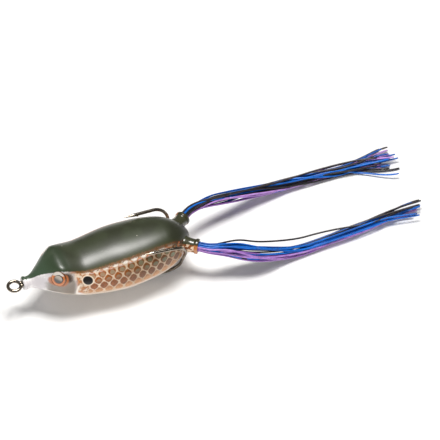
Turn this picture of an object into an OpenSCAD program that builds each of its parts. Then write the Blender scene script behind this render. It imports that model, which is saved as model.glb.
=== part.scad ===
// Hollow-bodied topwater lure: a soft squeezable shell on a double hook,
// with a keel weight, a rattle and two rubber-strand legs.
// The origin is the centre of the line-tie eye. The nose points to -X, and +Z is up.

/* [Shell] */
// Length of the soft shell, nose lip to tail
shell_length = 66; // [65:0.5:67]
// Greatest width of the shell
shell_width = 25.8; // [25:0.2:26.4]
// Height of the back above the line-tie eye
back_height = 8.9; // [8.6:0.1:9.2]
// Depth of the belly below the line-tie eye
belly_depth = 11.3; // [11:0.1:11.6]
// Thickness of the soft wall
wall = 1.3; // [1.1:0.1:1.5]

/* [Leg tubes] */
// Outer radius of a leg tube
tube_r = 2.6; // [2.5:0.05:2.8]
// Bore radius of a leg tube
tube_bore_r = 2.05; // [2:0.05:2.2]
// Sideways splay of each leg tube, in degrees
tube_splay = 36; // [34:1:38]
// Distance from the eye to a tube's mouth, along the lure
mouth_x = 70.2; // [69.8:0.1:70.6]
// Distance of a tube's mouth from the centre plane
mouth_y = 7.7; // [7.5:0.1:8]

/* [Hook] */
// Radius of the hook wire
wire_r = 0.63; // [0.58:0.01:0.63]
// Radius of the line-tie eye at the middle of its wire
eye_r = 2.35; // [2.3:0.05:2.45]
// Slope of the shank down to the belly, in degrees
shank_drop = 13.9; // [13.7:0.1:14.1]
// Outward lean of each hook bend, in degrees
bend_lean = 17; // [16:0.5:18]

/* [Keel weight and rattle] */
// Length of the keel weight
weight_length = 17; // [16:0.5:18]
// Greatest radius of the keel weight
weight_r = 3.1; // [3:0.05:3.15]
// Outer radius of the rattle tube
rattle_r = 2.2; // [2:0.05:2.4]
// Length of the rattle tube
rattle_length = 13; // [12.5:0.5:14]
// Radius of a rattle ball
ball_r = 1.4; // [1.3:0.05:1.45]

/* [Painted eyes] */
// Radius of a stick-on eye
eye_disc_r = 2.9; // [2.6:0.1:3]
// Height of the clear dome over it
eye_dome_h = 0.6; // [0.5:0.1:1]

/* [Skirt] */
// Radius of one colour bundle inside a leg tube
bundle_tube_r = 0.88; // [0.8:0.02:0.9]
// Radius of one colour bundle in the open leg
bundle_leg_r = 1.3; // [1.1:0.05:1.35]

/* [Hidden] */
$fn = 48;

LEFT = -1;
RIGHT = 1;
BLUE = 0;
BLACK = 1;
VIOLET = 2;
nose_x = 3.2;                      // front face of the nose lip

// ---- Smooth tables ------------------------------------------------------------------------

// The slope at row i of column k, and the row that place f falls in. Column 0 is the place.
function slope(T, i, k) =
    let (a = T[max(i - 1, 0)], b = T[min(i + 1, len(T) - 1)]) (b[k] - a[k]) / (b[0] - a[0]);
function row(T, f, i = 0) = i >= len(T) - 2 || f < T[i + 1][0] ? i : row(T, f, i + 1);
// A smooth curve through a table's column k.
function smooth(T, f, k) =
    let (i = row(T, f), a = T[i], b = T[i + 1], h = b[0] - a[0], t = (f - a[0]) / h)
    a[k] * (1 + 2 * t) * pow(1 - t, 2) + slope(T, i, k) * h * t * pow(1 - t, 2)
    + b[k] * t * t * (3 - 2 * t) + slope(T, i + 1, k) * h * t * t * (t - 1);
// 0 up to place a, 1 from place b, and a smooth step between.
function ease(f, a, b) = let (t = max(0, min(1, (f - a) / (b - a)))) t * t * (3 - 2 * t);
function unit(v) = v / norm(v);

// Closes rings of points, all of one length, into a solid.
module skin(rings) {
    m = len(rings[0]);
    last = len(rings) - 1;
    polyhedron(
        points = [for (r = rings) each r],
        faces = concat(
            [[for (j = [0 : m - 1]) j]],
            [for (i = [0 : last - 1]) for (j = [0 : m - 1]) let (k = (j + 1) % m)
                each [[i * m + j, (i + 1) * m + j, (i + 1) * m + k],
                      [i * m + j, (i + 1) * m + k, i * m + k]]],
            [[for (j = [m - 1 : -1 : 0]) last * m + j]]),
        convexity = 6);
}

// ---- The shell's outline ------------------------------------------------------------------

// Each row: share of the length, then half width, back height and belly depth as shares of
// their greatest values.
STATIONS = [
    [0.00, 0.18, 0.28, 0.22], [0.05, 0.20, 0.30, 0.24], [0.10, 0.36, 0.60, 0.34],
    [0.15, 0.56, 0.90, 0.44], [0.20, 0.72, 1.05, 0.54], [0.25, 0.80, 1.00, 0.64],
    [0.35, 0.88, 0.86, 0.84], [0.55, 1.00, 1.00, 1.00], [0.70, 0.96, 1.00, 0.96],
    [0.80, 0.86, 0.96, 0.90], [0.90, 0.68, 0.86, 0.78], [1.00, 0.50, 0.74, 0.64]];
tail_round = 0.84;                 // share of the length where the tail starts to round off
brow_f = 0.20;                     // the brows' place along the shell
brow_a = 55;                       // and round it, in degrees above the side
brow_h = 0.6;

function rounding(f) =
    f < tail_round ? 1 : sqrt(max(0, 1 - pow((f - tail_round) / (1 - tail_round), 2)));
function brow(f, a) = brow_h * exp(-pow((f - brow_f) / 0.06, 2)) * exp(-pow((a - brow_a) / 16, 2));
function squarish(c, n) = sign(c) * pow(abs(c), 2 / n);

// A point of the shell: f along it, a round it from the right side (0) over the back (90),
// and d how far inside the outer surface.
function shell_point(f, a, d = 0) =
    let (
        w = smooth(STATIONS, f, 1) * shell_width / 2 * rounding(f),
        top = smooth(STATIONS, f, 2) * back_height,
        low = -smooth(STATIONS, f, 3) * belly_depth,
        mid = (top + low) / 2,
        h = (top - low) / 2 * rounding(f),
        n = 2 + 0.2 * min(1, f / 0.2),
        up = a > 90 ? 180 - a : a,
        bump = brow(f, up) - d)
    [nose_x + f * shell_length,
     w * squarish(cos(a), n) + bump * cos(a),
     mid + h * squarish(sin(a), n) + bump * sin(a)];

// Shares of the length for n rings between two ends, closer together towards the tail.
function ring_places(from, to, n) =
    [for (i = [0 : n]) from + (to - from) * (i / n < 0.8 ? 1.1 * i / n
        : 0.88 + 0.12 * sin(90 * (i / n - 0.8) / 0.2))];

module shell_solid(from, to, rings, around, d) {
    skin([for (f = ring_places(from, to, rings))
        [for (j = [0 : around - 1]) shell_point(f, 360 * j / around, d)]]);
}

// ---- Places on the shell ------------------------------------------------------------------

eye_f = 0.175;                     // share of the length
eye_a = 30;                        // degrees above the side
eye_sink = 1.0;                    // how far the disc's back lies under the surface

// The outward normal on the right side.
function normal_at(f, a) = unit(cross(
    shell_point(f, a + 2) - shell_point(f, a - 2),
    shell_point(f + 0.01, a) - shell_point(f - 0.01, a)));

// Moves its children, built along +Z, onto the shell with +Z along the outward normal.
module on_shell(f, a, side) {
    n = normal_at(f, a);
    mirror([0, side == LEFT ? 1 : 0, 0])
        translate(shell_point(f, a)) rotate([0, acos(n[2]), atan2(n[1], n[0])]) children();
}

// Moves its children to a leg tube's mouth, with +Z into the tube.
module at_mouth(side) {
    translate([mouth_x, side * mouth_y, 0]) rotate([0, 0, side * tube_splay])
        rotate([0, -90, 0]) children();
}

// ---- Shell --------------------------------------------------------------------------------

tube_run = 9.5;                    // from the mouth back into the shell
lip_r = tube_r + 0.3;
lip_length = 1.3;
nose_bore_r = 1.7;
slot_front_x = 33.5;
slot_rear_x = 61;
slot_front_r = weight_r + 0.35;
slot_rear_r = 6.2;

module leg_tube(side) {
    at_mouth(side) {
        cylinder(r = tube_r, h = tube_run, $fn = 28);
        cylinder(r1 = lip_r - 0.3, r2 = lip_r, h = 0.4, $fn = 28);
        translate([0, 0, 0.4]) cylinder(r = lip_r, h = lip_length - 0.4, $fn = 28);
    }
}

module leg_bore(side) {
    at_mouth(side) translate([0, 0, -1]) cylinder(r = tube_bore_r, h = tube_run + 5.5, $fn = 28);
}

// The slot in the belly that the keel weight and the two wires come out of.
module belly_slot() {
    translate([0, 0, -belly_depth - 1]) linear_extrude(belly_depth - 4)
        polygon(concat(
            [for (a = [90 : 15 : 270])
                [slot_front_x + slot_front_r * (1 + cos(a)), slot_front_r * sin(a)]],
            [for (a = [-90 : 15 : 90])
                [slot_rear_x - 4 + 4 * cos(a), slot_rear_r * sin(a)]]));
}

module eye_socket(side) {
    on_shell(eye_f, eye_a, side) translate([0, 0, -eye_sink - 0.02])
        cylinder(r = eye_disc_r + 0.05, h = 4, $fn = 32);
}

// A thicker pad behind the eye's socket.
module eye_seat(side) {
    on_shell(eye_f, eye_a, side) translate([0, 0, -eye_sink - 1.1])
        cylinder(r = eye_disc_r + 0.6, h = 1.1, $fn = 32);
}

module body_shell() {
    color("darkolivegreen") difference() {
        union() {
            shell_solid(0, 0.999, 42, 36, 0);
            for (side = [LEFT, RIGHT]) leg_tube(side);
        }
        difference() {
            shell_solid(0.075, 0.955, 20, 24, wall);
            for (side = [LEFT, RIGHT]) eye_seat(side);
        }
        for (side = [LEFT, RIGHT]) leg_bore(side);
        for (side = [LEFT, RIGHT]) eye_socket(side);
        translate([nose_x - 1, 0, 0]) rotate([0, 90, 0]) cylinder(r = nose_bore_r, h = 9, $fn = 28);
        belly_slot();
    }
}

// ---- Stick-on eyes ------------------------------------------------------------------------

eye_disc_h = 0.6;

module eye_disc(side) {
    color("orange") on_shell(eye_f, eye_a, side) translate([0, 0, -eye_sink])
        cylinder(r = eye_disc_r, h = eye_disc_h);
}

module eye_dome(side) {
    ball = (eye_disc_r * eye_disc_r + eye_dome_h * eye_dome_h) / (2 * eye_dome_h);
    color("black") on_shell(eye_f, eye_a, side) translate([0, 0, eye_disc_h - eye_sink])
        intersection() {
            translate([0, 0, eye_dome_h - ball]) sphere(r = ball, $fn = 96);
            cylinder(r = eye_disc_r - 0.1, h = 3);
        }
}

// ---- Hook ---------------------------------------------------------------------------------

// A wire is drawn in steps. Each step moves its children to the wire's new end, with +X ahead.
module straight(l, r = wire_r) {
    rotate([0, 90, 0]) cylinder(r = r, h = l);
    translate([l, 0, 0]) children();
}

// A hair-thin collar that joins two steps of a wire into one solid.
module knuckle(r = wire_r) {
    translate([-0.15, 0, 0]) rotate([0, 90, 0]) cylinder(r = r + 0.012, h = 0.3);
}

// Turns towards +Y by angle a, or towards -Y if a is negative.
module bend(radius, a, r = wire_r) {
    s = sign(a);
    knuckle(r);
    translate([0, s * radius, 0]) {
        rotate([0, 0, s > 0 ? -90 : 90 + a])
            rotate_extrude(angle = abs(a)) translate([radius, 0]) circle(r = r);
        rotate([0, 0, a]) translate([0, -s * radius, 0]) {
            knuckle(r);
            children();
        }
    }
}

module roll(a) { rotate([a, 0, 0]) children(); }

shank_y = wire_r + 0.02;           // each shank wire's distance from the centre plane
eye_wire_r = wire_r + 0.03;        // the wire's radius where it is closed into the eye
drop_x = 6.8;                      // where the shank turns down
drop_r = 8;
shank_run = 32;                    // straight shank before the two wires part
spread_angle = 22;
spread_r = 10;
spread_run = 6.6;
heel_run = 3.3;
arm_run = 7.8;
point_run = 4;
barb_at = 6.2;

// The closed eye, with a narrow flat land on the inside of the wire.
module line_tie() {
    difference() {
        rotate_extrude() translate([eye_r, 0]) circle(r = eye_wire_r);
        cylinder(r = eye_r - eye_wire_r + 0.05, h = 4, center = true);
    }
}

module hook_arm() {
    straight(arm_run) rotate([0, 90, 0]) cylinder(r1 = wire_r, r2 = 0.06, h = point_run);
    // The barb stands on the side of the arm that faces down.
    translate([barb_at, wire_r * 0.4, -0.22]) linear_extrude(0.44)
        polygon([[0, 0], [-0.3, 0.75], [2, 0]]);
}

// One side of the hook, from the eye's neck to the point.
module hook_side() {
    translate([eye_r - 0.05, shank_y, 0])
        straight(drop_x - eye_r + 0.05)
            roll(-90) bend(drop_r, shank_drop) roll(90)
            straight(shank_run)
            bend(spread_r, spread_angle)
            straight(spread_run)
            bend(spread_r, -spread_angle)
            straight(heel_run)
            roll(90 - bend_lean)
            bend(6, 96)
            straight(7.3)
            bend(6, 92)
            hook_arm();
}

module double_hook() {
    color("silver") {
        line_tie();
        hook_side();
        mirror([0, 1, 0]) hook_side();
    }
}

// The sleeve that closes the shell's nose round the two wires.
module nose_sleeve() {
    color("dimgray") translate([nose_x + 0.1, 0, 0]) rotate([0, 90, 0]) difference() {
        cylinder(r = nose_bore_r - 0.02, h = 3.4);
        for (s = [LEFT, RIGHT]) translate([0, s * shank_y, -1]) cylinder(r = wire_r + 0.02, h = 6);
        translate([-wire_r * 0.9, -shank_y, -1]) cube([wire_r * 1.8, 2 * shank_y, 6]);
    }
}

// ---- Keel weight and rattle ---------------------------------------------------------------

weight_low_z = -12.6;              // lowest line of the weight; the hook's heels reach 0.2 lower
weight_x = 35;
weight_z = weight_low_z + weight_r;
rattle_x = 38.2;
rattle_sink = 0.4;                 // how deep the rattle sits in the weight's top groove
rattle_z = weight_z + weight_r + rattle_r - rattle_sink;
plug_h = 1.4;
rattle_wall = 0.6;

module weight_profile() {
    nose = 2.2;
    intersection() {
        union() {
            translate([0, nose]) square([weight_r, weight_length - 2 * nose]);
            translate([0, nose]) circle(r = nose);
            translate([0, weight_length - nose]) circle(r = nose);
            square([weight_r - nose, weight_length]);
            translate([weight_r - nose, nose]) circle(r = nose);
            translate([weight_r - nose, weight_length - nose]) circle(r = nose);
        }
        square([weight_r + 1, weight_length]);
    }
}

module keel_weight() {
    color("gray") difference() {
        translate([weight_x, 0, weight_z]) rotate([0, 90, 0]) rotate_extrude() weight_profile();
        rattle_body(0.02);
    }
}

module rattle_body(gap = 0) {
    translate([rattle_x - gap, 0, rattle_z]) rotate([0, 90, 0])
        cylinder(r = rattle_r + gap, h = rattle_length + 2 * gap);
}

module rattle_tube() {
    color("lightblue") difference() {
        rattle_body();
        translate([rattle_x - 1, 0, rattle_z]) rotate([0, 90, 0])
            cylinder(r = rattle_r - rattle_wall, h = rattle_length + 2);
    }
}

module rattle_plugs() {
    color("white") for (x = [rattle_x, rattle_x + rattle_length - plug_h])
        translate([x, 0, rattle_z]) rotate([0, 90, 0])
            cylinder(r = rattle_r - rattle_wall - 0.01, h = plug_h);
}

// Three balls that roll together, drawn against the rear plug.
module rattle_balls() {
    color("steelblue") for (i = [0 : 2])
        translate([rattle_x + rattle_length - plug_h - 0.05 - ball_r * (1 + 2 * i), 0,
            rattle_z - (rattle_r - rattle_wall - ball_r) + 0.02]) sphere(r = ball_r - 0.01);
}

// ---- Skirt --------------------------------------------------------------------------------

bundle_gap = 0.05;
loop_start = 1.6;                  // the loop's ends lie this far inside the mouths
loop_r = 4.2;                      // how tightly the skirt turns inside the tail
packed = (bundle_tube_r + bundle_gap) * 2 / sqrt(3);

// Where a colour lies in a leg's round bundle, in degrees from the right side over the top.
function colour_angle(side, colour) =
    side == LEFT ? [90, 330, 210][colour] : [330, 90, 210][colour];

// One colour of the skirt inside the shell, from mouth to mouth.
module skirt_loop(colour) {
    a = [90, 210, 330][colour];
    across = packed * cos(a);
    corner = mouth_y / sin(tube_splay);
    run = corner - loop_start - loop_r * tan(90 - tube_splay);
    translate([mouth_x, -mouth_y, packed * sin(a)]) rotate([0, 0, 180 - tube_splay])
        translate([loop_start, across, 0])
        straight(run, bundle_tube_r)
        bend(loop_r + across, -180 + 2 * tube_splay, bundle_tube_r)
        straight(run, bundle_tube_r);
}

// The band round the middle of the skirt, inside the tail.
module skirt_tie() {
    x = mouth_x - mouth_y / tan(tube_splay) + loop_r * (1 / sin(tube_splay) - 1);
    color("dimgray") translate([x, -1.1, 0]) rotate([-90, 0, 0]) difference() {
        cylinder(r = 2.7, h = 2.2);
        translate([0, 0, -1]) cylinder(r = 2.15, h = 5);
    }
}

// Each leg's middle line: distance along the lure, then across it.
LEFT_LEG = [[mouth_x, -mouth_y], [74, -10.2], [80, -12], [90, -14.5], [105, -15], [125, -14],
    [145, -12.5], [160, -13]];
RIGHT_LEG = [[mouth_x, mouth_y], [74, 10.2], [80, 12], [90, 13.5], [105, 15.5], [120, 16.5],
    [140, 15.5], [160, 13]];
left_landing_x = 112;              // where each leg has come down to its lowest
right_landing_x = 120;
leg_drop = 10.5;                   // and how far that is below the mouths
flex_x = 104;                      // where a leg's tip hinges
flex_gap = 2.6;                    // the gap there between the two parts of a bundle
leg_start = 0.3;
left_end_x = 158.5;                // where each leg's tips end
right_end_x = 157.5;
tip_fan = 3.1;                     // how far the colours spread apart at the very end

function leg_line(side) = side == LEFT ? LEFT_LEG : RIGHT_LEG;
function landing_x(side) = side == LEFT ? left_landing_x : right_landing_x;
function leg_point(side, x) =
    [x, smooth(leg_line(side), x, 1), -leg_drop * ease(x, mouth_x, landing_x(side))];

// How far a bundle has opened: narrow where it leaves the mouth and at each end.
function fullness(x, from, to) =
    let (open = 0.62 + 0.38 * ease(x, mouth_x, mouth_x + 3), spread = ease(x, mouth_x, mouth_x + 14))
    (open * bundle_tube_r + spread * (bundle_leg_r - bundle_tube_r))
    * (0.55 + 0.45 * ease(x - from, 0, 2.5)) * (0.55 + 0.45 * ease(to - x, 0, 3));

function bundle_ring(side, colour, x, from, to) =
    let (
        t = unit(leg_point(side, x + 0.2) - leg_point(side, x - 0.2)),
        n = unit(cross([0, 0, 1], t)),
        b = cross(t, n),
        r = fullness(x, from, to),
        a = colour_angle(side, colour),
        off = (r + bundle_gap) * 2 / sqrt(3),
        w = ease(x, 140, 157),
        across = (1 - w) * off * cos(a) + w * tip_fan * (a == 90 ? 0 : sign(cos(a))),
        up = (1 - w * w) * off * sin(a) - w * w * off / 2,
        c = leg_point(side, x) + across * n + up * b)
    [for (j = [0 : 11]) c + r * (cos(30 * j) * n + sin(30 * j) * b)];

module bundle(side, colour, from, to, rings) {
    skin([for (i = [0 : rings]) bundle_ring(side, colour,
        from + (to - from) * (i / rings - 0.1 * sin(360 * i / rings)), from, to)]);
}

module leg(side, colour) {
    bundle(side, colour, mouth_x + leg_start, flex_x - flex_gap / 2, 16);
}

module tip(side, colour) {
    bundle(side, colour, flex_x + flex_gap / 2, side == LEFT ? left_end_x : right_end_x, 20);
}

body_shell();
double_hook();
keel_weight();
nose_sleeve();
rattle_tube();
rattle_plugs();
rattle_balls();
eye_disc(LEFT);  // left_eye_disc
eye_dome(LEFT);  // left_eye_dome
eye_disc(RIGHT);  // right_eye_disc
eye_dome(RIGHT);  // right_eye_dome
color("blue") skirt_loop(BLUE);  // skirt_loop_blue
color("black") skirt_loop(BLACK);  // skirt_loop_black
color("violet") skirt_loop(VIOLET);  // skirt_loop_violet
skirt_tie();
color("blue") leg(LEFT, BLUE);  // left_leg_blue
color("black") leg(LEFT, BLACK);  // left_leg_black
color("violet") leg(LEFT, VIOLET);  // left_leg_violet
color("blue") tip(LEFT, BLUE);  // left_tip_blue
color("black") tip(LEFT, BLACK);  // left_tip_black
color("violet") tip(LEFT, VIOLET);  // left_tip_violet
color("blue") leg(RIGHT, BLUE);  // right_leg_blue
color("black") leg(RIGHT, BLACK);  // right_leg_black
color("violet") leg(RIGHT, VIOLET);  // right_leg_violet
color("blue") tip(RIGHT, BLUE);  // right_tip_blue
color("black") tip(RIGHT, BLACK);  // right_tip_black
color("violet") tip(RIGHT, VIOLET);  // right_tip_violet
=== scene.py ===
"""A hollow-bodied topwater lure, built around its CAD frame: painted shell, stick-on eyes,
double hook and two legs of loose rubber strands. Lengths are in millimetres until they
become mesh coordinates, which are in metres."""

import math

import bpy
import numpy as np
from mathutils import Matrix, Vector


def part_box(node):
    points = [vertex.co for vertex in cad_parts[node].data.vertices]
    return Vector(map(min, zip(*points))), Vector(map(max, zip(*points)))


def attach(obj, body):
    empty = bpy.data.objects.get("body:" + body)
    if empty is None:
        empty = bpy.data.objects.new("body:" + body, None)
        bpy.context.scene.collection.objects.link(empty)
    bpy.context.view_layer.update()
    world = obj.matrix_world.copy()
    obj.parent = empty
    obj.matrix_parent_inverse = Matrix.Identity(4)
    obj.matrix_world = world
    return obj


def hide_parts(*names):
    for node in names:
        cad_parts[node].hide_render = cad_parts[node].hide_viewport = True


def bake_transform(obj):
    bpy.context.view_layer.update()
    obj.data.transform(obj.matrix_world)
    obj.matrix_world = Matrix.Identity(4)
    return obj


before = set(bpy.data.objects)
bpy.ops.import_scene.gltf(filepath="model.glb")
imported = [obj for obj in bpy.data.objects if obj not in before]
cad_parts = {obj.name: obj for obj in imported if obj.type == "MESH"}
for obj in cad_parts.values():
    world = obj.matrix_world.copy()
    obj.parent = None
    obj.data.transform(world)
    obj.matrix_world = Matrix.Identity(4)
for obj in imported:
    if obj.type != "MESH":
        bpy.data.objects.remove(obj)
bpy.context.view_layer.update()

MM = 0.001
LEFT, RIGHT = -1, 1
SIDES = {"left": LEFT, "right": RIGHT}
FLOOR_Z = min(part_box(n)[0].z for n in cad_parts) / MM


# ---- Camera and stage ---------------------------------------------------------------------

VIEW_AZIMUTH, VIEW_ELEVATION = math.radians(-22.0), math.radians(49.5)
FRAME_WIDTH = 163.0  # what the picture takes in, across
CAMERA_DISTANCE = 4.0
AIM_RIGHT, AIM_UP, AIM_BACK = 75.8, 24.4, -21.0  # the picture's centre, from the line-tie eye


def view_axes():
    sa, ca = math.sin(VIEW_AZIMUTH), math.cos(VIEW_AZIMUTH)
    se, ce = math.sin(VIEW_ELEVATION), math.cos(VIEW_ELEVATION)
    return Vector((ca, sa, 0)), Vector((-sa * se, ca * se, ce)), Vector((sa * ce, -ca * ce, se))


def make_camera():
    right, up, back = view_axes()
    data = bpy.data.cameras.new("camera")
    data.sensor_width = 36.0
    data.lens = data.sensor_width * CAMERA_DISTANCE / (FRAME_WIDTH * MM)
    data.clip_start, data.clip_end = 0.1, 20.0
    cam = bpy.data.objects.new("camera", data)
    bpy.context.scene.collection.objects.link(cam)
    aim = (right * AIM_RIGHT + up * AIM_UP + back * AIM_BACK) * MM
    turn = Matrix((right, up, back)).transposed().to_4x4()
    cam.matrix_world = Matrix.Translation(aim + back * CAMERA_DISTANCE) @ turn
    bpy.context.scene.camera = cam


def area_light(name, place, aim, size, power, colour=(1, 1, 1), seen_in_gloss=True):
    data = bpy.data.lights.new(name, "AREA")
    data.shape = "RECTANGLE"
    data.size, data.size_y = size
    data.energy = power
    data.color = colour
    ob = bpy.data.objects.new(name, data)
    ob.visible_camera = False
    ob.visible_glossy = seen_in_gloss
    bpy.context.scene.collection.objects.link(ob)
    ob.location = place
    ob.rotation_euler = (Vector(aim) - Vector(place)).to_track_quat("-Z", "Y").to_euler()
    return ob


make_camera()


# ---- Node graphs --------------------------------------------------------------------------


class Value:
    """A number in a material's node graph: arithmetic on it adds Math nodes."""

    def __init__(self, graph, socket):
        self.graph, self.socket = graph, socket

    def __add__(self, o):
        return self.graph.math("ADD", self, o)

    __radd__ = __add__

    def __sub__(self, o):
        return self.graph.math("SUBTRACT", self, o)

    def __rsub__(self, o):
        return self.graph.math("SUBTRACT", o, self)

    def __mul__(self, o):
        return self.graph.math("MULTIPLY", self, o)

    __rmul__ = __mul__

    def __truediv__(self, o):
        return self.graph.math("DIVIDE", self, o)

    def __pow__(self, o):
        return self.graph.math("POWER", self, o)

    def __abs__(self):
        return self.graph.math("ABSOLUTE", self)


class Graph:
    def __init__(self, name, roughness=0.4, metallic=0.0, coat=0.0, coat_roughness=0.1):
        self.mat = bpy.data.materials.new(name)
        self.mat.use_nodes = True
        self.tree = self.mat.node_tree
        self.shader = self.tree.nodes["Principled BSDF"]
        self.shader.inputs["Roughness"].default_value = roughness
        self.shader.inputs["Metallic"].default_value = metallic
        self.shader.inputs["Coat Weight"].default_value = coat
        self.shader.inputs["Coat Roughness"].default_value = coat_roughness

    def node(self, kind):
        return self.tree.nodes.new(kind)

    def plug(self, source, target):
        if isinstance(source, Value):
            self.tree.links.new(source.socket, target)
        elif isinstance(source, bpy.types.NodeSocket):
            self.tree.links.new(source, target)
        else:
            target.default_value = source

    def math(self, op, *args):
        n = self.node("ShaderNodeMath")
        n.operation = op
        for a, s in zip(args, n.inputs):
            self.plug(a, s)
        return Value(self, n.outputs[0])

    def fract(self, v):
        return self.math("FRACT", v)

    def low(self, a, b):
        return self.math("MINIMUM", a, b)

    def attribute(self, name):
        n = self.node("ShaderNodeAttribute")
        n.attribute_name = name
        return Value(self, n.outputs["Fac"])

    def rest(self):
        """The piece's place at rest, in millimetres, for textures that stay put as it bends."""
        n = self.node("ShaderNodeAttribute")
        n.attribute_name = "rest"
        return n.outputs["Vector"]

    def place_mm(self):
        """The place in the row frame, in millimetres, for carried-over CAD nodes."""
        n = self.node("ShaderNodeVectorMath")
        n.operation = "SCALE"
        n.inputs["Scale"].default_value = 1 / MM
        self.tree.links.new(self.node("ShaderNodeTexCoord").outputs["Object"], n.inputs[0])
        return n.outputs[0]

    def stretched(self, vector, factors):
        n = self.node("ShaderNodeVectorMath")
        n.operation = "MULTIPLY"
        self.tree.links.new(vector, n.inputs[0])
        n.inputs[1].default_value = factors
        return n.outputs[0]

    def noise(self, vector, size, detail=2.0, roughness=0.5):
        """Noise about size mm across, roughly 0 to 1."""
        n = self.node("ShaderNodeTexNoise")
        self.tree.links.new(vector, n.inputs["Vector"])
        n.inputs["Scale"].default_value = 1 / size
        n.inputs["Detail"].default_value = detail
        n.inputs["Roughness"].default_value = roughness
        return Value(self, n.outputs["Fac"])

    def step(self, v, a, b):
        """0 where v is at a, 1 where it is at b, with a smooth step between."""
        n = self.node("ShaderNodeMapRange")
        n.interpolation_type = "SMOOTHSTEP"
        if a > b:
            n.inputs["From Min"].default_value, n.inputs["From Max"].default_value = b, a
            n.inputs["To Min"].default_value, n.inputs["To Max"].default_value = 1.0, 0.0
        else:
            n.inputs["From Min"].default_value, n.inputs["From Max"].default_value = a, b
        self.plug(v, n.inputs["Value"])
        return Value(self, n.outputs["Result"])

    def band(self, v, a, b, soft):
        """1 where v is between a and b, fading over soft each side."""
        return self.step(v, a - soft, a + soft) * self.step(v, b + soft, b - soft)

    def mix(self, share, a, b):
        """Colour a where share is 0, and b where it is 1."""
        n = self.node("ShaderNodeMix")
        n.data_type = "RGBA"
        n.clamp_factor = True
        self.plug(share, n.inputs[0])
        for c, s in ((a, n.inputs[6]), (b, n.inputs[7])):
            if isinstance(c, tuple):
                s.default_value = (*c, 1.0)
            else:
                self.tree.links.new(c, s)
        return n.outputs[2]

    def bump(self, height, distance, strength=1.0):
        """height is in millimetres when distance is 1."""
        n = self.node("ShaderNodeBump")
        n.inputs["Strength"].default_value = strength
        n.inputs["Distance"].default_value = distance * MM
        self.plug(height, n.inputs["Height"])
        self.tree.links.new(n.outputs["Normal"], self.shader.inputs["Normal"])

    def finish(self, colour, roughness=None):
        if isinstance(colour, tuple):
            self.shader.inputs["Base Color"].default_value = (*colour, 1.0)
        else:
            self.tree.links.new(colour, self.shader.inputs["Base Color"])
        if roughness is not None:
            self.plug(roughness, self.shader.inputs["Roughness"])
        return self.mat


def rgb(r, g, b):
    """A screen colour, 0 to 255, as linear light."""
    return tuple(
        (v / 12.92 if v <= 0.04045 else ((v + 0.055) / 1.055) ** 2.4)
        for v in (r / 255, g / 255, b / 255)
    )


# ---- Smooth tables, as in the CAD source --------------------------------------------------


def smooth(table, f, k):
    """A smooth curve through column k of a table, at places f. Column 0 is the place."""
    t_all = np.array(table, float)
    x, y = t_all[:, 0], t_all[:, k]
    n = len(x)
    low = np.maximum(np.arange(n) - 1, 0)
    high = np.minimum(np.arange(n) + 1, n - 1)
    slope = (y[high] - y[low]) / (x[high] - x[low])
    f = np.asarray(f, float)
    i = np.clip(np.searchsorted(x, f, side="right") - 1, 0, n - 2)
    h = x[i + 1] - x[i]
    t = (f - x[i]) / h
    return (
        y[i] * (1 + 2 * t) * (1 - t) ** 2
        + slope[i] * h * t * (1 - t) ** 2
        + y[i + 1] * t * t * (3 - 2 * t)
        + slope[i + 1] * h * t * t * (t - 1)
    )


def ease(v, a, b):
    t = np.clip((np.asarray(v, float) - a) / (b - a), 0, 1)
    return t * t * (3 - 2 * t)


NOSE_X = 3.2
SHELL_LENGTH, SHELL_WIDTH, BACK_HEIGHT, BELLY_DEPTH = 66.0, 25.8, 8.9, 11.3
STATIONS = [
    [0.00, 0.18, 0.28, 0.22], [0.05, 0.20, 0.30, 0.24], [0.10, 0.36, 0.60, 0.34],
    [0.15, 0.56, 0.90, 0.44], [0.20, 0.72, 1.05, 0.54], [0.25, 0.80, 1.00, 0.64],
    [0.35, 0.88, 0.86, 0.84], [0.55, 1.00, 1.00, 1.00], [0.70, 0.96, 1.00, 0.96],
    [0.80, 0.86, 0.96, 0.90], [0.90, 0.68, 0.86, 0.78], [1.00, 0.50, 0.74, 0.64],
]  # fmt: skip
TAIL_ROUND = 0.84
BROW_F, BROW_A, BROW_H = 0.20, 55.0, 0.6
BROW_REACH_F, BROW_REACH_A = 0.06, 16.0
WALL = 1.3


def section(f):
    """The shell's section at f: half width, middle height, half height and squareness."""
    f = np.asarray(f, float)
    past = np.clip((f - TAIL_ROUND) / (1 - TAIL_ROUND), 0, 1)
    rounding = np.sqrt(np.maximum(0, 1 - past**2))
    top = smooth(STATIONS, f, 2) * BACK_HEIGHT
    low = -smooth(STATIONS, f, 3) * BELLY_DEPTH
    half_width = smooth(STATIONS, f, 1) * SHELL_WIDTH / 2 * rounding
    return half_width, (top + low) / 2, (top - low) / 2 * rounding, 2 + 0.2 * np.minimum(1, f / 0.2)


def shell_point(f, degrees, depth=0.0):
    """A point of the shell: f along it, an angle from the right side over the back, and a depth
    inside the outer surface."""
    w, mid, h, n = section(f)
    a = np.radians(degrees)
    c, s = np.cos(a), np.sin(a)
    up = np.where(np.asarray(degrees) > 90, 180 - np.asarray(degrees), degrees)
    brow = np.exp(-(((f - BROW_F) / BROW_REACH_F) ** 2) - ((up - BROW_A) / BROW_REACH_A) ** 2)
    bump = BROW_H * brow - depth
    y = w * np.sign(c) * np.abs(c) ** (2 / n) + bump * c
    z = mid + h * np.sign(s) * np.abs(s) ** (2 / n) + bump * s
    return np.stack(np.broadcast_arrays(NOSE_X + f * SHELL_LENGTH, y, z), -1)


# ---- Mesh helpers -------------------------------------------------------------------------


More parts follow.
